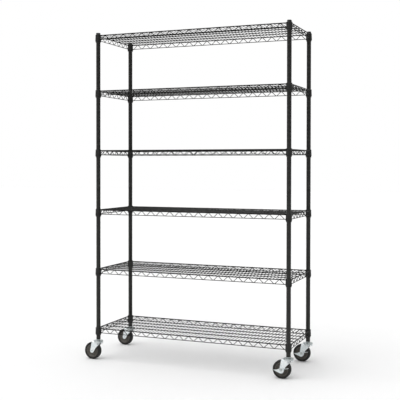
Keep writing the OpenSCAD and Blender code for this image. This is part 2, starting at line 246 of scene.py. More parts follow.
def addSheet(form, rows, thickness, place):
    # pressed sheet: two skins either side of a grid of points, closed round the rim
    height = len(rows)
    width = len(rows[0])
    upper = []
    lower = []
    for r in range(height):
        for c in range(width):
            alongRow = rows[r][min(c + 1, width - 1)] - rows[r][max(c - 1, 0)]
            acrossRow = rows[min(r + 1, height - 1)][c] - rows[max(r - 1, 0)][c]
            normal = alongRow.cross(acrossRow).normalized()
            upper.append(place @ (rows[r][c] + normal * thickness / 2))
            lower.append(place @ (rows[r][c] - normal * thickness / 2))
    total = height * width
    faces = gridFaces(height, width)
    faces += [tuple(total + i for i in reversed(face)) for face in faces]
    rim = [c for c in range(width)]
    rim += [r * width + width - 1 for r in range(1, height)]
    rim += [(height - 1) * width + c for c in range(width - 2, -1, -1)]
    rim += [r * width for r in range(height - 2, 0, -1)]
    for i in range(len(rim)):
        a, b = rim[i - 1], rim[i]
        faces.append((b, a, a + total, b + total))
    addToForm(form, upper + lower, faces)


def standing(spot):
    return Matrix.Translation(spot)


def facingFront(spot):
    # local Z points to the front, -Y
    return Matrix.Translation(spot) @ Matrix.Rotation(math.radians(90), 4, "X")


def facingBack(spot):
    return facingFront(spot) @ Matrix.Rotation(math.radians(180), 4, "X")


# Finishes. Their noise is measured in the object's own metres, so a scale of 500 is about 2 mm.
# In a look, spread places its colours over the noise and relief is the strength of its bumps.

def startFinish(name):
    finish = bpy.data.materials.new(name)
    finish.use_nodes = True
    nodes = finish.node_tree.nodes
    nodes.clear()
    output = nodes.new("ShaderNodeOutputMaterial")
    shader = nodes.new("ShaderNodeBsdfPrincipled")
    finish.node_tree.links.new(shader.outputs["BSDF"], output.inputs["Surface"])
    return finish, shader


def addNoise(finish, scale, detail=3, stretch=(1, 1, 1), roughness=0.5):
    nodes = finish.node_tree.nodes
    links = finish.node_tree.links
    place = nodes.new("ShaderNodeTexCoord")
    mapping = nodes.new("ShaderNodeMapping")
    mapping.inputs["Scale"].default_value = stretch
    links.new(place.outputs["Object"], mapping.inputs["Vector"])
    noise = nodes.new("ShaderNodeTexNoise")
    noise.inputs["Scale"].default_value = scale
    noise.inputs["Detail"].default_value = detail
    noise.inputs["Roughness"].default_value = roughness
    links.new(mapping.outputs["Vector"], noise.inputs["Vector"])
    return noise.outputs["Fac"]


def addRamp(finish, source, stops):
    ramp = finish.node_tree.nodes.new("ShaderNodeValToRGB")
    elements = ramp.color_ramp.elements
    while len(elements) < len(stops):
        elements.new(0.5)
    for element, (position, colour) in zip(elements, stops):
        element.position = position
        element.color = (*colour, 1)
    finish.node_tree.links.new(source, ramp.inputs["Fac"])
    return ramp.outputs["Color"]


def addRange(tree, source, fromLow, fromHigh, toLow, toHigh):
    ranged = tree.nodes.new("ShaderNodeMapRange")
    ranged.inputs["From Min"].default_value = fromLow
    ranged.inputs["From Max"].default_value = fromHigh
    ranged.inputs["To Min"].default_value = toLow
    ranged.inputs["To Max"].default_value = toHigh
    tree.links.new(source, ranged.inputs["Value"])
    return ranged.outputs["Result"]


def addBumps(finish, shader, sources, strength):
    # each source is (height, depth in metres); the last one lies on the ones before
    nodes = finish.node_tree.nodes
    links = finish.node_tree.links
    below = None
    for height, depth in sources:
        bump = nodes.new("ShaderNodeBump")
        bump.inputs["Strength"].default_value = strength
        bump.inputs["Distance"].default_value = depth
        links.new(height, bump.inputs["Height"])
        if below:
            links.new(below, bump.inputs["Normal"])
        below = bump.outputs["Normal"]
    links.new(below, shader.inputs["Normal"])


def addColours(finish, shader, source, look, names):
    # the colours of those names, laid over the source at the places in the look's spread
    stops = [(place, look[name]) for place, name in zip(look["spread"], names)]
    finish.node_tree.links.new(addRamp(finish, source, stops), shader.inputs["Base Color"])


def addRoughness(finish, shader, source, look):
    low, high = look["roughSpread"]
    rough = addRange(finish.node_tree, source, low, high, look["smoothest"], look["roughest"])
    finish.node_tree.links.new(rough, shader.inputs["Roughness"])


def powderCoat(name, look):
    # baked powder: orange peel, faint mottling, a few rubbed patches
    finish, shader = startFinish(name)
    mottle = addNoise(finish, look["mottleScale"], 4)
    patches = addNoise(finish, look["patchScale"], 5, roughness=0.6)
    addColours(finish, shader, mottle, look, ("dark", "colour", "light"))
    addRoughness(finish, shader, patches, look)
    addBumps(finish, shader, [
        (addNoise(finish, look["peelScale"], 2), look["peelDepth"]),
        (addNoise(finish, look["grainScale"], 1), look["grainDepth"])], look["relief"])
    shader.inputs["Specular IOR Level"].default_value = look["shine"]
    return finish


def zincPlate(name, look):
    # zinc: bluish metal with faint straw clouds and rolling marks; the look gives bright zinc or a
    # darker copy with painted shade
    finish, shader = startFinish(name)
    clouds = addNoise(finish, look["cloudScale"], 4)
    marks = addNoise(finish, look["markScale"], 3, look["markStretch"])
    addColours(finish, shader, clouds, look, ("blue", "colour", "straw"))
    addRoughness(finish, shader, marks, look)
    addBumps(finish, shader, [
        (marks, look["markDepth"]),
        (addNoise(finish, look["dentScale"], 2), look["dentDepth"])], look["relief"])
    shader.inputs["Metallic"].default_value = look["metal"]
    return finish


def mouldedPlastic(name, look):
    # fine moulded grain with faint flow marks
    finish, shader = startFinish(name)
    flow = addNoise(finish, look["flowScale"], 3, look["flowStretch"])
    rub = addNoise(finish, look["rubScale"], 4)
    addColours(finish, shader, flow, look, ("colour", "light"))
    addRoughness(finish, shader, rub, look)
    grain = addNoise(finish, look["grainScale"], 2)
    addBumps(finish, shader, [(grain, look["grainDepth"])], look["relief"])
    shader.inputs["Specular IOR Level"].default_value = look["shine"]
    return finish


def treadRubber(name, look):
    # matt rubber with dust in its pores and scuffed streaks
    finish, shader = startFinish(name)
    dust = addNoise(finish, look["dustScale"], 6, roughness=0.65)
    addColours(finish, shader, dust, look, ("colour", "worn", "dusty"))
    addRoughness(finish, shader, dust, look)
    addBumps(finish, shader, [
        (addNoise(finish, look["poreScale"], 3), look["poreDepth"]),
        (addNoise(finish, look["scuffScale"], 2, look["scuffStretch"]), look["scuffDepth"])],
        look["relief"])
    shader.inputs["Specular IOR Level"].default_value = look["shine"]
    return finish


postLook = dict(
    colour=(0.0115, 0.0115, 0.0095), dark=(0.008, 0.008, 0.007), light=(0.017, 0.017, 0.0145),
    mottleScale=60, patchScale=24, peelScale=500, peelDepth=0.05 * mm, grainScale=2500,
    grainDepth=0.01 * mm, smoothest=0.30, roughest=0.46, shine=0.4, relief=0.6,
    spread=(0.3, 0.55, 0.8), roughSpread=(0.3, 0.7))
wireLook = dict(
    postLook, colour=(0.007, 0.007, 0.006), dark=(0.005, 0.005, 0.0045),
    light=(0.010, 0.010, 0.009), smoothest=0.34, roughest=0.5, shine=0.08)
collarLook = dict(
    postLook, colour=(0.009, 0.009, 0.008), dark=(0.007, 0.007, 0.006),
    light=(0.013, 0.013, 0.012), smoothest=0.4, roughest=0.58)
zincLook = dict(
    colour=(0.84, 0.88, 0.89), blue=(0.72, 0.78, 0.80), straw=(0.88, 0.90, 0.88), metal=0.9,
    cloudScale=55, markScale=60, markDepth=0.05 * mm, dentScale=240, dentDepth=0.06 * mm,
    smoothest=0.22, roughest=0.4, markStretch=(1, 1, 14), relief=0.5,
    spread=(0.3, 0.52, 0.75), roughSpread=(0.25, 0.75))
# darker copy of the bright zinc: painted shade, standing in for the shadow that the posts cast on the
# caster races and stems, and for the shade round the nuts of the braked axles
shadedZincLook = dict(
    zincLook, colour=(0.50, 0.535, 0.54), blue=(0.40, 0.45, 0.46), straw=(0.55, 0.57, 0.55),
    metal=1)
ballLook = dict(zincLook, smoothest=0.08, roughest=0.16, metal=1)
plasticLook = dict(
    colour=(0.010, 0.010, 0.010), light=(0.020, 0.020, 0.019), flowScale=30, rubScale=70,
    grainScale=1800, grainDepth=0.05 * mm, smoothest=0.42, roughest=0.6, shine=0.4,
    flowStretch=(1, 1, 3), relief=0.5, spread=(0.3, 0.75), roughSpread=(0.3, 0.7))
hubLook = dict(
    plasticLook, colour=(0.070, 0.063, 0.055), light=(0.115, 0.105, 0.092), flowScale=45)
rubberLook = dict(
    colour=(0.011, 0.011, 0.011), worn=(0.021, 0.020, 0.019), dusty=(0.05, 0.047, 0.043),
    dustScale=75, poreScale=900, poreDepth=0.08 * mm, scuffScale=160, scuffDepth=0.08 * mm,
    smoothest=0.55, roughest=0.85, shine=0.35, scuffStretch=(1, 6, 1), relief=0.6,
    spread=(0.35, 0.6, 0.82), roughSpread=(0.3, 0.7))

postFinish = powderCoat("postPowderCoat", postLook)
wireFinish = powderCoat("wirePowderCoat", wireLook)
collarFinish = powderCoat("collarPowderCoat", collarLook)
zincFinish = zincPlate("brightZinc", zincLook)
shadedZincFinish = zincPlate("zincWithPaintedShade", shadedZincLook)
ballFinish = zincPlate("polishedSteel", ballLook)
plasticFinish = mouldedPlastic("blackPlastic", plasticLook)
hubFinish = mouldedPlastic("hubPlastic", hubLook)
rubberFinish = treadRubber("tyreRubber", rubberLook)
print("finishes made")


# Places, read from the frame

def boxMiddle(node):
    low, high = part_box(node)
    return (low + high) / 2


postSpots = {}
axleSpots = {}
for corner in corners:
    middle = boxMiddle("post_lower_" + corner)
    postSpots[corner] = Vector((middle.x, middle.y, 0))
    axleSpots[corner] = boxMiddle("tyre_" + corner)
postLow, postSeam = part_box("post_lower_fl")
postFoot = postLow.z
postRadius = (postSeam.x - postLow.x) / 2
seamHeight = postSeam.z
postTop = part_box("post_upper_fl")[1].z
halfLong = postSpots["fr"].x              # from the middle of the rack to a post
halfDeep = postSpots["rr"].y


# Posts: tube with a ring groove every inch, in two halves

postShape = dict(
    bore=11.5 * mm, firstGroove=23.5 * mm, groovePitch=25.4 * mm, grooveWidth=2 * mm,
    grooveDepth=0.5 * mm, endLand=4 * mm, endChamfer=0.6 * mm, segments=32, sharpAngle=50,
    # each point as (shares of the width, share of the depth)
    grooveProfile=((-0.9, 0), (-0.45, 0.1), (0, 1), (0.45, 0.1), (0.9, 0)))


def grooveHeights(low, high):
    out = []
    z = postFoot + postShape["firstGroove"]
    while z < high - postShape["endLand"]:
        if z > low + postShape["endLand"]:
            out.append(z)
        z += postShape["groovePitch"]
    return out


def postHalf(half, corner, low, high):
    s = postShape
    chamfer = s["endChamfer"]
    outline = [(s["bore"], low), (postRadius - chamfer, low), (postRadius, low + chamfer)]
    for z in grooveHeights(low, high):
        for across, depth in s["grooveProfile"]:
            outline.append((postRadius - depth * s["grooveDepth"], z + across * s["grooveWidth"]))
    outline += [(postRadius, high - chamfer), (postRadius - chamfer, high), (s["bore"], high)]
    form = newForm()
    addSpin(form, outline, standing(postSpots[corner]), s["segments"])
    piece = makePiece("%sPost_%s" % (half, corner), form, postFinish, s["sharpAngle"])
    settle(piece, "post_%s_%s" % (half, corner), "root")


for corner in corners:
    postHalf("lower", corner, postFoot, seamHeight)
    postHalf("upper", corner, seamHeight, postTop)


# Post caps: rounded button with a shallow dish, on a plug inside the tube

capShape = dict(
    rise=6 * mm, edge=2.6 * mm, dish=0.7 * mm, step=0.4 * mm, plug=11.3 * mm,
    plugDepth=15 * mm, dishFloor=0.55, dishSlope=0.62, dishRim=0.68, segments=40)


def postCaps():
    c = capShape
    top = postTop + c["rise"]
    outline = [(0, top - c["dish"]), (postRadius * c["dishFloor"], top - c["dish"]),
               (postRadius * c["dishSlope"], top - c["dish"] * 0.4),
               (postRadius * c["dishRim"], top)]
    outline += arcPoints((postRadius - c["edge"], top - c["edge"]), c["edge"], 90, 0, 6)
    outline += [(postRadius, postTop + 2 * c["step"]), (postRadius - c["step"], postTop + c["step"]),
                (postRadius - c["step"], postTop), (c["plug"], postTop),
                (c["plug"], postTop - c["plugDepth"]), (0, postTop - c["plugDepth"])]
    form = newForm()
    for corner in corners:
        addSpin(form, outline, standing(postSpots[corner]), c["segments"], closed=False)
    settle(makePiece("postCaps", form, plasticFinish), "post_caps", "root")


postCaps()
print("posts and caps made")


# Shelf sizes, shared by sleeves, collars, trusses and decks; heights count from the top rail

wireShape = dict(
    topRail=3 * mm, bottomRail=2 * mm, trussHeight=25 * mm, railOut=9.5 * mm,
    wave=1.8 * mm, waveIn=4.7 * mm, wavePitch=60 * mm, bendFlat=6 * mm, bendCurve=5 * mm,
    waveDrop=2.1 * mm, deck=1.5 * mm, deckPitch=20 * mm, rod=2.5 * mm, rodPitch=76 * mm, rodCount=4,
    weldGap=0.1 * mm, topSides=16, bottomSides=14, waveSides=10, deckSides=10, rodSides=14,
    bendSteps=4)
sleeveShape = dict(
    low=-40 * mm, high=7 * mm, topThickness=1.8 * mm, bottomThickness=3.2 * mm, fit=0.1 * mm,
    slit=1.5 * mm, foot=2.4 * mm, footStep=0.35 * mm, edge=0.5 * mm, segments=22)
collarShape = dict(
    low=-33 * mm, high=5 * mm, wall=2.2 * mm, fit=0.3 * mm, bead=0.9 * mm, waist=0.45 * mm,
    segments=44)
shelfHeights = {}
for level in levels:
    shelfHeights[level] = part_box("shelf_%d_frame" % level)[1].z - wireShape["topRail"]


def sleeveRadius(height):
    s = sleeveShape
    share = (height - s["low"]) / (s["high"] - s["low"])
    return postRadius + s["bottomThickness"] + (s["topThickness"] - s["bottomThickness"]) * share


def collarBore(height):
    return sleeveRadius(height) + collarShape["fit"]


def collarRadius(height):
    return collarBore(height) + collarShape["wall"]


# Split sleeves: two tapered halves round the post, with a slit at each side and a foot below

def splitSleeves(level):
    s = sleeveShape
    inner = postRadius + s["fit"]
    foot = sleeveRadius(s["low"])
    top = sleeveRadius(s["high"])
    outline = [
        (inner, s["low"]), (foot - s["edge"], s["low"]), (foot, s["low"] + s["edge"]),
        (foot, s["low"] + s["foot"]), (foot - s["footStep"], s["low"] + s["foot"] + s["edge"]),
        (sleeveRadius(0), 0), (top, s["high"] - s["edge"]), (top - s["edge"], s["high"]),
        (inner, s["high"])]
    slitAngle = math.degrees(math.asin(s["slit"] / 2 / inner))
    form = newForm()
    for corner in corners:
        place = standing(postSpots[corner] + Vector((0, 0, shelfHeights[level])))
        for start in (slitAngle, 180 + slitAngle):
            addSpin(form, outline, place, s["segments"], start, 180 - 2 * slitAngle)
    piece = makePiece("splitSleeves_%d" % level, form, plasticFinish)
    settle(piece, "sleeves_%d" % level, "root")


# Shelf collars: tapered pressed rings with a rolled bead at each end

def shelfCollars(level):
    low, high = collarShape["low"], collarShape["high"]
    bead, waist = collarShape["bead"], collarShape["waist"]
    outline = [
        (collarBore(low), low + bead), (collarBore(low) + bead * 0.3, low + bead * 0.3),
        (collarBore(low) + bead, low), (collarRadius(low) - bead * 0.6, low),
        (collarRadius(low) - bead * 0.1, low + bead * 0.5), (collarRadius(low), low + bead * 1.4),
        (collarRadius(low) - waist / 2, low + bead * 3),
        (collarRadius(low) - waist, low + bead * 4.5),
        (collarRadius(high) - waist, high - bead * 4.5),
        (collarRadius(high) - waist / 2, high - bead * 3),
        (collarRadius(high), high - bead * 1.4),
        (collarRadius(high) - bead * 0.1, high - bead * 0.5),
        (collarRadius(high) - bead * 0.6, high), (collarBore(high) + bead, high),
        (collarBore(high) + bead * 0.3, high - bead * 0.3), (collarBore(high), high - bead)]
    form = newForm()
    for corner in corners:
        place = standing(postSpots[corner] + Vector((0, 0, shelfHeights[level])))
        addSpin(form, outline, place, collarShape["segments"])
    piece = makePiece("shelfCollars_%d" % level, form, collarFinish)
    settle(piece, "shelf_%d_collars" % level, "shelf_%d" % level)


# Trusses round the edge of a shelf: top rail, wave and bottom rail, welded together

weldShape = dict(
    railSpot=(2.6 * mm, 1.5 * mm, 1.3 * mm), collarLong=1.8 * mm, collarGrow=0.8 * mm,
    collarOff=1.5 * mm, sink=0.5 * mm, deckEnd=(2.1 * mm, 1.3 * mm, 1.5 * mm),
    rodSpot=(2 * mm, 2.4 * mm, 0.7 * mm), waveShare=0.6, railShare=0.4)


def wireEnd(post, out, height):
    # how far a wire, lying out from the middle of the posts, runs before it meets the collar
    radius = collarRadius(height) - weldShape["sink"]
    return post - math.sqrt(radius * radius - out * out)


def wavePath(post, out, middleIsHigh):
    # corners of the wave as (distance along, height), from collar to collar
    w = wireShape
    half = w["wavePitch"] / 2
    bends = int((post - collarRadius(0) - w["bendFlat"] / 2) // half)
    heights = [-w["waveDrop"], -w["trussHeight"]]
    if not middleIsHigh:
        heights.reverse()
    end = wireEnd(post, out, -w["trussHeight"] / 2)
    path = [(-end, heights[bends % 2])]
    spots = []
    for i in range(-bends, bends + 1):
        height = heights[abs(i) % 2]
        spots.append((i * half, height))
        for side in (-0.5, 0.5):
            path.append((i * half + side * w["bendFlat"], height))
    path.append((end, heights[bends % 2]))
    return path, spots


def addTruss(form, turn, post, across, side, middleIsHigh):
    # turn lays the local X axis along this side of the shelf
    w = wireShape
    low = -w["trussHeight"]
    railOut = w["railOut"]
    waveOut = railOut - w["waveIn"]
    lowOut = waveOut + w["bottomRail"] + w["wave"] - w["weldGap"]

    def at(along, out, height):
        return turn @ Vector((along, side * (across + out), height))

    def sized(sizes):
        return [abs(v) for v in turn.to_3x3() @ Vector(sizes)]

    topEnd = wireEnd(post, railOut, 0)
    lowEnd = wireEnd(post, lowOut, low)
    topLine = [at(-topEnd, railOut, 0), at(topEnd, railOut, 0)]
    lowLine = [at(-lowEnd, lowOut, low), at(lowEnd, lowOut, low)]
    addWire(form, topLine, w["topRail"], w["topSides"])
    addWire(form, lowLine, w["bottomRail"], w["bottomSides"])
    path, spots = wavePath(post, waveOut, middleIsHigh)
    waveLine = [at(along, waveOut, height) for along, height in path]
    addWire(form, roundCorners(waveLine, w["bendCurve"], w["bendSteps"]), w["wave"], w["waveSides"])
    for along, height in spots:               # spot weld at each bend
        isHigh = height > low / 2
        railHeight = 0 if isHigh else low
        between = (waveOut + (railOut if isHigh else lowOut)) / 2
        spotHeight = height * weldShape["waveShare"] + railHeight * weldShape["railShare"]
        spot = at(along, between, spotHeight)
        addWeld(form, spot, sized(weldShape["railSpot"]))
    for end in (-1, 1):                       # fillet welds on the collars
        for along, out, height, radius in (
                (topEnd, railOut, 0, w["topRail"]), (lowEnd, lowOut, low, w["bottomRail"])):
            grow = radius + weldShape["collarGrow"]
            spot = at(end * (along - weldShape["collarOff"]), out, height)
            addWeld(form, spot, sized((weldShape["collarLong"], grow, grow)), 10, 5)


def shelfFrame(level):
    form = newForm()
    lift = Matrix.Translation((0, 0, shelfHeights[level]))
    endOn = lift @ Matrix.Rotation(math.radians(90), 4, "Z")
    for side in (-1, 1):
        addTruss(form, lift, halfLong, halfDeep, side, True)
        addTruss(form, endOn, halfDeep, halfLong, side, False)
    piece = makePiece("shelfFrame_%d" % level, form, wireFinish)
    settle(piece, "shelf_%d_frame" % level, "shelf_%d" % level)


# Decks: wires from front to back, welded on four long rods

def deckReach(along):
    clear = collarRadius(0) + wireShape["weldGap"]
    away = max(abs(halfLong - abs(along)) - wireShape["deck"], 0)
    if away < clear:
        return halfDeep - math.sqrt(clear * clear - away * away)
    return halfDeep + wireShape["railOut"] - wireShape["topRail"] + weldShape["sink"]


def shelfDeck(level):
    w = wireShape
    form = newForm()
    deckMiddle = shelfHeights[level] + w["topRail"] - w["deck"]
    rodMiddle = deckMiddle - w["deck"] - w["rod"] + w["weldGap"]
    endFace = halfLong + w["railOut"] - w["waveIn"] - w["wave"]
    rods = [(i - (w["rodCount"] - 1) / 2) * w["rodPitch"] for i in range(w["rodCount"])]
    count = int((endFace - w["deck"]) // w["deckPitch"])
    for i in range(-count, count + 1):
        along = i * w["deckPitch"]
        reach = deckReach(along)
        ends = [Vector((along, side * reach, deckMiddle)) for side in (-1, 1)]
        addWire(form, ends, w["deck"], w["deckSides"])
        for end in ends:                      # weld on the top rail
            if reach > halfDeep:
                addWeld(form, end - Vector((0, 0, w["deck"] / 3)), weldShape["deckEnd"])
        for y in rods:                        # pressed weld on each rod
            addWeld(form, Vector((along, y, deckMiddle - w["deck"])), weldShape["rodSpot"], 8, 3)
    for y in rods:
        ends = [Vector((side * endFace, y, rodMiddle)) for side in (-1, 1)]
        addWire(form, ends, w["rod"], w["rodSides"])
    piece = makePiece("shelfDeck_%d" % level, form, wireFinish)
    settle(piece, "shelf_%d_deck" % level, "shelf_%d" % level)


for level in levels:
    splitSleeves(level)
    shelfFrame(level)
    shelfDeck(level)
    shelfCollars(level)
print("sleeves and shelves made")


# Caster stems: kingpin head, plain neck, hexagon and the thread inside the post

crownThickness = 3 * mm
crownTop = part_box("fork_fl")[1].z
crownLow = crownTop - crownThickness
stemShape = dict(
    radius=6 * mm, headRadius=8.2 * mm, headHeight=3 * mm, headPlay=0.4 * mm, across=21.5 * mm,
    hexHeight=6 * mm, chamfer=1.6 * mm, thread=1.75 * mm, threadDepth=0.55 * mm,
    threadLength=25 * mm, neckSegments=32, threadSegments=24)


def casterStems():
    s = stemShape
    form = newForm()
    headTop = crownLow - s["headPlay"]
    head = s["headRadius"]
    hexLow = postFoot - s["hexHeight"]
    neck = [(0, headTop - s["headHeight"]), (head * 0.68, headTop - s["headHeight"]),
            (head * 0.93, headTop - s["headHeight"] * 0.75), (head, headTop - s["headHeight"] * 0.35),
            (head, headTop), (s["radius"], headTop), (s["radius"], hexLow + s["headPlay"]),
            (0, hexLow + s["headPlay"])]
    thread = [(0, postFoot - s["headPlay"]), (s["radius"], postFoot - s["headPlay"])]
    for turn in range(int(s["threadLength"] / s["thread"])):
        z = postFoot + turn * s["thread"]
        thread += [(s["radius"], z), (s["radius"] - s["threadDepth"], z + s["thread"] / 2)]
    z += s["thread"]
    thread += [(s["radius"] * 0.8, z), (0, z)]
    for corner in corners:
        place = standing(postSpots[corner])
        hexPlace = place @ standing((0, 0, hexLow))
        addHexagon(form, hexPlace, s["across"], s["hexHeight"], s["chamfer"])
        addSpin(form, neck, place, s["neckSegments"], closed=False)
        addSpin(form, thread, place, s["threadSegments"], closed=False)
    # the stems take the darker zinc: painted shade under the posts
    settle(makePiece("casterStems", form, shadedZincFinish), "caster_stems", "root")


# Caster races: pressed disc with a raised middle and a skirt round the balls

raceShape = dict(
    thickness=3 * mm, skirt=2 * mm, shoulder=2.6 * mm, dip=1.1 * mm, fit=0.1 * mm,
    dipFrom=0.72, dipTo=0.64, riseMiddle=0.56, riseTop=0.5, segments=56)


def casterRaces():
    r = raceShape
    low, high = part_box("caster_races")
    radius = high.x - halfLong
    bore = stemShape["radius"] + r["fit"]
    top = high.z
    shoulderTop = top - r["dip"] * 0.7
    outline = [(bore, top - r["thickness"]), (radius - r["skirt"], top - r["thickness"]),
               (radius - r["skirt"], low.z), (radius - r["skirt"] * 0.2, low.z),
               (radius, low.z + r["skirt"] * 0.25)]
    shoulderMiddle = (radius - r["shoulder"], shoulderTop - r["shoulder"])
    outline += arcPoints(shoulderMiddle, r["shoulder"], 0, 90, 6)
    outline += [(radius * r["dipFrom"], top - r["dip"]), (radius * r["dipTo"], top - r["dip"]),
                (radius * r["riseMiddle"], top - r["dip"] * 0.4), (radius * r["riseTop"], top),
                (bore, top)]
    form = newForm()
    for corner in corners:
        addSpin(form, outline, standing(postSpots[corner]), r["segments"])
    # the races take the darker zinc: painted shade under the posts
    settle(makePiece("casterRaces", form, shadedZincFinish), "caster_races", "root")


casterStems()
casterRaces()


# Forks: one pressed sheet for both legs and the top, a round crown and a drooping hood

forkShape = dict(
    inner=17.875 * mm, sheet=2.5 * mm, eye=11.6 * mm, eyeShift=2 * mm,
    backTop=-36 * mm, frontTop=12 * mm, frontDrop=13 * mm, kneeX=-9 * mm, kneeDrop=33 * mm,
    bend=5 * mm, seat=0.05 * mm, notchX=-9 * mm, notchSlack=0.25 * mm, stemGap=0.1 * mm,
    # pinch draws the front edges of the legs inwards, and lean adds to it near the top; both
    # grow from nothing at tyreClear from the axle to their full size at tyreFree
    pinch=6.5 * mm, pinchFrom=-3 * mm, lean=3 * mm, leanFrom=-6 * mm, leanTo=8 * mm,
    leanLow=82 * mm, tyreClear=53 * mm, tyreFree=60 * mm,
    # belly draws in both edges of a leg, and grows from bellyFrom to bellyTo from the axle
    belly=1.3 * mm, bellyFrom=13 * mm, bellyTo=26 * mm,
    crown=27 * mm, crownEdge=0.9 * mm,
    hoodDrop=7.4 * mm, hoodThickness=2 * mm, hoodRoll=6 * mm, hoodAngle=56, hoodTop=70,
    columns=20, legRows=14, bendRows=6, topRows=5, eyeAngles=(12, 26, 40, 55, 70, 90),
    crownSegments=56, hoodSegments=16, sharpAngle=32)


def legEdges(stem, axle, height):
    # back and front edge of a leg at one height, from the stem's axis
    f = forkShape
    eyeX = axle.x - stem.x + f["eyeShift"]
    eyeZ = axle.z

    def edgeX(corner, side):
        # straight from a corner down to the round end, which it meets at a tangent
        toCorner = Vector((corner[0] - eyeX, corner[1] - eyeZ))
        a = math.atan2(toCorner.y, toCorner.x) + side * math.acos(f["eye"] / toCorner.length)
        touchX = eyeX + f["eye"] * math.cos(a)
        touchZ = eyeZ + f["eye"] * math.sin(a)
        if height >= touchZ:
            return touchX + (corner[0] - touchX) * min((height - touchZ) / (corner[1] - touchZ), 1)
        return eyeX + side * -math.sqrt(max(f["eye"] ** 2 - (height - eyeZ) ** 2, 0))

    kneeZ = crownLow - f["kneeDrop"]
    frontZ = crownLow - f["frontDrop"]
    back = edgeX((f["backTop"], crownLow), 1)
    front = edgeX((f["kneeX"], kneeZ), -1)
    if height > kneeZ:
        share = min((height - kneeZ) / (frontZ - kneeZ), 1)
        front = f["kneeX"] + (f["frontTop"] - f["kneeX"]) * share
    return back, front


def forkRows(stem, axle):
    # middle of the sheet: up one leg, over the top and down the other
    f = forkShape
    legY = f["inner"] + f["sheet"] / 2
    topZ = crownTop - f["sheet"] / 2 - f["seat"]
    bendZ = topZ - f["bend"]
    heights = [axle.z - f["eye"] * math.cos(math.radians(a)) for a in f["eyeAngles"]]
    heights += [axle.z + (bendZ - axle.z) * i / f["legRows"] for i in range(1, f["legRows"] + 1)]
    section = [(legY, z) for z in heights]
    section += [(legY - f["bend"] + y, bendZ + z)
                for y, z in arcPoints((0, 0), f["bend"], 90 / f["bendRows"], 90, f["bendRows"] - 1)]
    flat = legY - f["bend"]
    section += [(flat * (1 - i / f["topRows"]), topZ) for i in range(1, f["topRows"] + 1)]
    rows = []
    for sideWay, z in section:
        back, front = legEdges(stem, axle, min(z, crownLow))
        if sideWay < flat + f["notchSlack"]:  # open round the stem, under the crown
            front = f["notchX"]
        row = []
        for c in range(f["columns"] + 1):
            u = c / f["columns"]
            x = back + (front - back) * u
            toWheel = math.hypot(x + stem.x - axle.x, z - axle.z)
            clear = smoothStep(toWheel, f["tyreClear"], f["tyreFree"])
            forward = smoothStep(x, f["leanFrom"], f["leanTo"])
            inward = f["pinch"] * smoothStep(x, f["pinchFrom"], f["frontTop"]) * clear
            inward += f["lean"] * forward * smoothStep(z, f["leanLow"], bendZ) * clear
            inward += f["belly"] * (2 * u - 1) ** 2 * smoothStep(toWheel, f["bellyFrom"], f["bellyTo"])
            row.append(Vector((x, sideWay - inward * sideWay / legY, z)))
        rows.append(row)
    return rows + [[Vector((p.x, -p.y, p.z)) for p in row] for row in reversed(rows[:-1])]


def fork(corner):
    f = forkShape
    stem = postSpots[corner]
    form = newForm()
    addSheet(form, forkRows(stem, axleSpots[corner]), f["sheet"], standing(stem))
    bore = stemShape["radius"] + f["stemGap"]
    edge = f["crownEdge"]
    crown = [(bore, crownLow), (f["crown"] - edge, crownLow), (f["crown"], crownLow + edge),
             (f["crown"], crownTop - edge), (f["crown"] - edge * 0.3, crownTop - edge * 0.3),
             (f["crown"] - edge, crownTop), (bore, crownTop)]
    addSpin(form, crown, standing(stem), f["crownSegments"])
    outer = f["crown"] + edge
    rollMiddle = (outer - f["hoodRoll"], crownTop - f["hoodRoll"])
    foot = crownLow - f["hoodDrop"]
    hood = arcPoints(rollMiddle, f["hoodRoll"] - f["hoodThickness"], f["hoodTop"], 0, 5)
    hood += [(outer - f["hoodThickness"], foot + edge * 0.4),
             (outer - f["hoodThickness"] + edge * 0.4, foot),
             (outer - edge * 0.4, foot), (outer, foot + edge * 0.4)]
    hood += arcPoints(rollMiddle, f["hoodRoll"], 0, f["hoodTop"], 7)
    addSpin(form, hood, standing(stem), f["hoodSegments"], -f["hoodAngle"] / 2, f["hoodAngle"])
    piece = makePiece("pressedFork_" + corner, form, zincFinish, f["sharpAngle"])
    settle(piece, "fork_" + corner, "caster_" + corner)


# Axles: bolt with a chamfered head, washers, nut, and the bush in the hub

axleShape = dict(
    radius=4 * mm, across=13 * mm, head=3.5 * mm, nut=5 * mm, chamfer=1.1 * mm, washer=8.4 * mm,
    washerThickness=1 * mm, boltEnd=1 * mm, bush=6 * mm, gap=0.1 * mm, leverRoom=2.9 * mm,
    ringSegments=32, shankSegments=24)


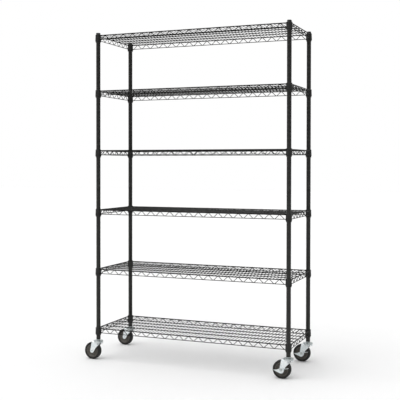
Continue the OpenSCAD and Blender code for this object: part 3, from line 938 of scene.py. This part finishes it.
def axle(corner):
    a = axleShape
    outside = forkShape["inner"] + forkShape["sheet"] + a["gap"]
    front = outside + (a["leverRoom"] if corner in brakedCorners else 0)
    frontward = facingFront(axleSpots[corner])
    backward = facingBack(axleSpots[corner])
    thin = a["washerThickness"]
    washer = [(a["radius"], 0), (a["washer"], 0), (a["washer"], thin * 0.7),
              (a["washer"] - thin * 0.4, thin), (a["radius"], thin)]
    boltEnd = -outside - thin - a["nut"] - a["boltEnd"]
    shank = [(0, boltEnd), (a["radius"] - thin / 2, boltEnd), (a["radius"], boltEnd + thin / 2),
             (a["radius"], front + thin), (0, front + thin)]
    reach = forkShape["inner"] - a["gap"]
    bush = [(a["radius"] + a["gap"], -reach), (a["bush"], -reach), (a["bush"], reach),
            (a["radius"] + a["gap"], reach)]
    form = newForm()
    for facing, start, height in ((frontward, front, a["head"]), (backward, outside, a["nut"])):
        addSpin(form, washer, facing @ standing((0, 0, start)), a["ringSegments"])
        hexPlace = facing @ standing((0, 0, start + thin))
        addHexagon(form, hexPlace, a["across"], height, a["chamfer"])
    addSpin(form, shank, frontward, a["shankSegments"], closed=False)
    addSpin(form, bush, frontward, a["ringSegments"])
    # braked corners get the darker zinc: painted shade round the bolt and nut beside the lever
    finish = shadedZincFinish if corner in brakedCorners else zincFinish
    piece = makePiece("wheelAxle_" + corner, form, finish)
    settle(piece, "axle_" + corner, "caster_" + corner)


# Wheels: moulded hub with a dished face, and a solid tyre

wheelRadius = axleSpots["fl"].z
wheelShape = dict(
    halfWidth=15.875 * mm, hub=38 * mm, fit=0.05 * mm, bore=6.05 * mm, boss=12 * mm,
    bossReach=16.9 * mm, web=6.5 * mm, dishFrom=26.5 * mm, dishTo=34.5 * mm, rim=13.9 * mm,
    edge=0.8 * mm, shoulder=7 * mm, lineDepth=0.5 * mm, lineWidth=1 * mm, hubSegments=72,
    tyreSegments=96, sharpAngle=30)


def wheelHub(corner):
    w = wheelShape
    edge = w["edge"]
    face = [
        (w["bore"], w["bossReach"]), (w["boss"] - edge, w["bossReach"]),
        (w["boss"], w["bossReach"] - edge), (w["boss"] + edge, w["web"] + 2 * edge),
        (w["boss"] + 3 * edge, w["web"]), (w["dishFrom"], w["web"]),
        (w["dishFrom"] + edge, w["web"] + edge * 0.3), (w["dishTo"] - edge * 0.6, w["rim"] - edge),
        (w["dishTo"] + edge * 0.4, w["rim"] - edge * 0.1), (w["dishTo"] + edge, w["rim"]),
        (w["hub"] - edge, w["rim"]), (w["hub"] - w["fit"], w["rim"] - edge * 0.6)]
    form = newForm()
    outline = face + [(r, -z) for r, z in reversed(face)]
    addSpin(form, outline, facingFront(axleSpots[corner]), w["hubSegments"])
    piece = makePiece("wheelHub_" + corner, form, hubFinish, w["sharpAngle"])
    settle(piece, "wheel_hub_" + corner, "wheel_" + corner)


def tyre(corner):
    # a step beside the hub, full shoulders and a fine line near each side of the tread
    w = wheelShape
    half = w["halfWidth"]
    flat = half - w["shoulder"]
    line = w["lineWidth"]
    profile = [(w["hub"], w["rim"]), (w["hub"] + line * 0.7, w["rim"] + line * 0.8),
               (w["hub"] + line * 2.2, half - line * 0.4), (w["hub"] + line * 3.6, half)]
    profile += arcPoints((wheelRadius - w["shoulder"], flat), w["shoulder"], 90, 0, 9)
    profile += [(wheelRadius, flat - line), (wheelRadius - w["lineDepth"], flat - line * 1.5),
                (wheelRadius, flat - line * 2)]
    form = newForm()
    outline = profile + [(r, -z) for r, z in reversed(profile)]
    addSpin(form, outline, facingFront(axleSpots[corner]), w["tyreSegments"])
    piece = makePiece("solidTyre_" + corner, form, rubberFinish, w["sharpAngle"])
    settle(piece, "tyre_" + corner, "wheel_" + corner)


# Brake levers: dished plate round the axle, pointed behind, with a release tab in front

leverShape = dict(
    gap=0.4 * mm, sheet=2.5 * mm, hole=5.3 * mm, cup=18 * mm, tip=(-42 * mm, -2.5 * mm),
    shoulderX=-9 * mm, shoulderZ=9 * mm, rightAngle=28, rimSteps=26, flange=6.5 * mm,
    flangeThickness=1.8 * mm, edge=0.5 * mm,
    tabFrom=(14 * mm, 5.5 * mm), tabTo=(43 * mm, 11.6 * mm), tabWidth=12 * mm, tabThickness=2 * mm)


def strip(path, thickness):
    # outline of a thin strip to the left of a path
    count = len(path)
    inner = []
    for i in range(count):
        run = Vector(path[min(i + 1, count - 1)]) - Vector(path[max(i - 1, 0)])
        inner.append(Vector(path[i]) + Vector((-run.y, run.x)).normalized() * thickness)
    return [Vector(p) for p in path] + list(reversed(inner))


def brakeLever(corner):
    v = leverShape
    plateOut = forkShape["inner"] + forkShape["sheet"] + v["gap"]
    place = facingFront(axleSpots[corner]) @ standing((0, 0, plateOut))
    tip = Vector(v["tip"])
    lowAngle = math.degrees(math.atan2(tip.y, tip.x) + math.acos(v["cup"] / tip.length))
    rim = [tuple(tip)] + arcPoints((0, 0), v["cup"], lowAngle, v["rightAngle"], v["rimSteps"])
    shoulder = arcPoints((v["cup"] * 0.45, v["shoulderZ"] * 0.4), v["shoulderZ"] * 0.9, 60, 120, 4)
    back = [(v["shoulderX"], v["shoulderZ"] * 0.75), (tip.x * 0.6, tip.y + v["sheet"])]
    flange = strip(rim, v["flangeThickness"])
    tab = strip([v["tabFrom"], v["tabTo"]], v["tabThickness"])
    form = newForm()
    addPlate(form, rim + shoulder + back, place, v["sheet"], v["edge"], v["hole"])
    addPlate(form, flange, place, v["sheet"] + v["flange"], v["edge"])
    addPlate(form, tab, place, v["tabWidth"], v["edge"])
    piece = makePiece("brakeLever_" + corner, form, zincFinish)
    settle(piece, "brake_lever_" + corner, "brake_" + corner)


for corner in corners:
    fork(corner)
    axle(corner)
    wheelHub(corner)
    tyre(corner)
for corner in brakedCorners:
    brakeLever(corner)
print("casters made")


# CAD nodes that stay as they are, with a better finish

keptNodes = dict(
    post_joint_studs=zincFinish, post_joint_inserts=zincFinish, post_foot_inserts=zincFinish,
    caster_balls=ballFinish)
for node, finish in keptNodes.items():
    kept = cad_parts[node]
    kept.data.materials.clear()
    kept.data.materials.append(finish)


# Studio: pale floor, one broad lamp, a white backdrop and a dimmer room for the metal to mirror

studio = dict(
    floorSize=60, floorTiles=8, floorColour=(0.93, 0.93, 0.93), floorDim=0.99, floorScale=3,
    floorSpread=(0.3, 0.7), floorRoughness=0.8, backdrop=1,
    roomAbove=0.95, roomBehind=0.8, roomInFront=0.26, roomLeft=1, roomRight=0.3,
    backSpread=(-0.6, 0.8), sideSpread=(-0.3, 0.9), riseSpread=(0.1, 0.9),
    keyStrength=1.3, keyAngle=60, keyAim=(0.9, 1.1, -2.6))
viewpoint = dict(
    spot=(1.80386, -4.46199, 1.16674), yaw=22.211, pitch=-0.864, roll=-0.066, lens=72.69,
    shiftDown=0.0566, sensor=36, far=200)


def studioFloor():
    half = studio["floorSize"] / 2
    tiles = studio["floorTiles"]
    form = newForm()
    points = []
    for i in range(tiles + 1):
        for j in range(tiles + 1):
            points.append(Vector((2 * half * i / tiles - half, 2 * half * j / tiles - half, 0)))
    addToForm(form, points, gridFaces(tiles + 1, tiles + 1))
    finish, shader = startFinish("paleFloor")
    colour = studio["floorColour"]
    dimmer = [c * studio["floorDim"] for c in colour]
    clouds = addNoise(finish, studio["floorScale"])
    tint = addRamp(finish, clouds, list(zip(studio["floorSpread"], (dimmer, colour))))
    finish.node_tree.links.new(tint, shader.inputs["Base Color"])
    shader.inputs["Roughness"].default_value = studio["floorRoughness"]
    makePiece("studioFloor", form, finish)


def studioLight():
    light = bpy.data.lights.new("keyLight", "SUN")
    light.energy = studio["keyStrength"]
    light.angle = math.radians(studio["keyAngle"])
    lamp = bpy.data.objects.new("keyLight", light)
    lamp.rotation_mode = "QUATERNION"
    lamp.rotation_quaternion = Vector(studio["keyAim"]).to_track_quat("-Z", "Y")
    bpy.context.scene.collection.objects.link(lamp)


def studioWorld():
    s = studio
    world = bpy.data.worlds.new("studioWorld")
    world.use_nodes = True
    tree = world.node_tree
    place = tree.nodes.new("ShaderNodeTexCoord")
    parts = tree.nodes.new("ShaderNodeSeparateXYZ")
    tree.links.new(place.outputs["Generated"], parts.inputs["Vector"])
    frontToBack = addRange(
        tree, parts.outputs["Y"], *s["backSpread"], s["roomInFront"], s["roomBehind"])
    leftToRight = addRange(tree, parts.outputs["X"], *s["sideSpread"], s["roomLeft"], s["roomRight"])
    around = tree.nodes.new("ShaderNodeMath")
    around.operation = "MULTIPLY"
    tree.links.new(frontToBack, around.inputs[0])
    tree.links.new(leftToRight, around.inputs[1])
    rise = addRange(tree, parts.outputs["Z"], *s["riseSpread"], 0, 1)
    room = tree.nodes.new("ShaderNodeMix")
    tree.links.new(rise, room.inputs["Factor"])
    tree.links.new(around.outputs["Value"], room.inputs["A"])
    room.inputs["B"].default_value = s["roomAbove"]
    path = tree.nodes.new("ShaderNodeLightPath")
    seen = tree.nodes.new("ShaderNodeMix")
    tree.links.new(path.outputs["Is Camera Ray"], seen.inputs["Factor"])
    tree.links.new(room.outputs["Result"], seen.inputs["A"])
    seen.inputs["B"].default_value = s["backdrop"]
    background = tree.nodes["Background"]
    background.inputs["Color"].default_value = (1, 1, 1, 1)
    tree.links.new(seen.outputs["Result"], background.inputs["Strength"])
    bpy.context.scene.world = world
    bpy.context.scene.view_settings.view_transform = "Standard"


def studioCamera():
    v = viewpoint
    yaw = math.radians(v["yaw"])
    pitch = math.radians(v["pitch"])
    ahead = Vector((-math.sin(yaw) * math.cos(pitch), math.cos(yaw) * math.cos(pitch), math.sin(pitch)))
    camera = bpy.data.cameras.new("studioCamera")
    camera.lens = v["lens"]
    camera.sensor_width = v["sensor"]
    camera.shift_y = -v["shiftDown"]
    camera.clip_end = v["far"]
    eye = bpy.data.objects.new("studioCamera", camera)
    eye.location = v["spot"]
    eye.rotation_mode = "QUATERNION"
    tilt = Matrix.Rotation(math.radians(-v["roll"]), 3, "Z").to_quaternion()
    eye.rotation_quaternion = ahead.to_track_quat("-Z", "Y") @ tilt
    bpy.context.scene.collection.objects.link(eye)
    bpy.context.scene.camera = eye


studioFloor()
studioLight()
studioWorld()
studioCamera()
print("studio ready")
